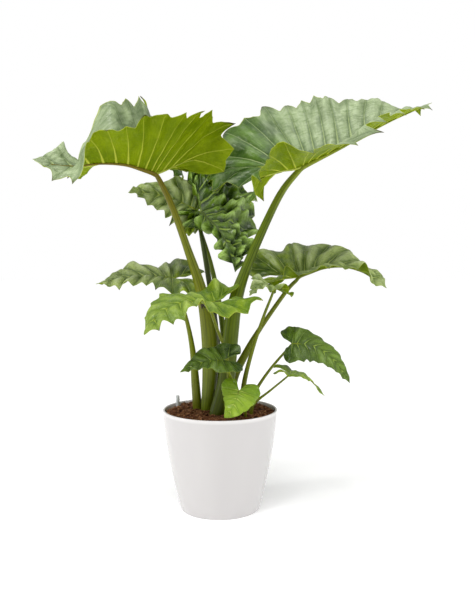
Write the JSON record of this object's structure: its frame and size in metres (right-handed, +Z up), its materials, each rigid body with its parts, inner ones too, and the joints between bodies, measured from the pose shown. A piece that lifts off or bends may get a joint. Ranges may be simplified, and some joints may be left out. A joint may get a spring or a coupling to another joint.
{
  "type": "potted plant",
  "caption": "Potted elephant ear plant with arrow-shaped ruffled leaves on long stalks, in a round tapered planter filled with bark mix.",
  "frame": {"origin": "centre of the planter's foot, on the floor", "axes": "+Z up, -Y towards the viewer, the largest leaves reach along -X and +X"},
  "size_m": [0.9256, 0.4336, 1.0177],
  "materials": {
    "planter": "glossy white",
    "mix": "damp bark chips and soil",
    "gauge": "satin grey",
    "husk": "dry brown husk",
    "leaf": "waxy green leaf",
    "stalk": "smooth green stalk"
  },
  "bodies": {
    "root": {"planter": "planter", "potting_mix": "mix", "level_gauge": "gauge", "dried_sheath": "husk", "blade_upper_left": "leaf", "blade_upper_right": "leaf", "blade_centre_right": "leaf", "blade_centre_left": "leaf", "blade_mid_left": "leaf", "blade_front": "leaf", "blade_mid_right": "leaf", "blade_small_right": "leaf", "blade_low_right": "leaf", "blade_low_right_small": "leaf", "blade_low_front": "leaf", "blade_young": "leaf", "stalk_upper_left": "stalk", "stalk_upper_right": "stalk", "stalk_centre_right": "stalk", "stalk_centre_left": "stalk", "stalk_mid_left": "stalk", "stalk_front": "stalk", "stalk_mid_right": "stalk", "stalk_small_right": "stalk", "stalk_low_right": "stalk", "stalk_low_right_small": "stalk", "stalk_low_front": "stalk", "stalk_young": "stalk"}
  },
  "joints": []
}
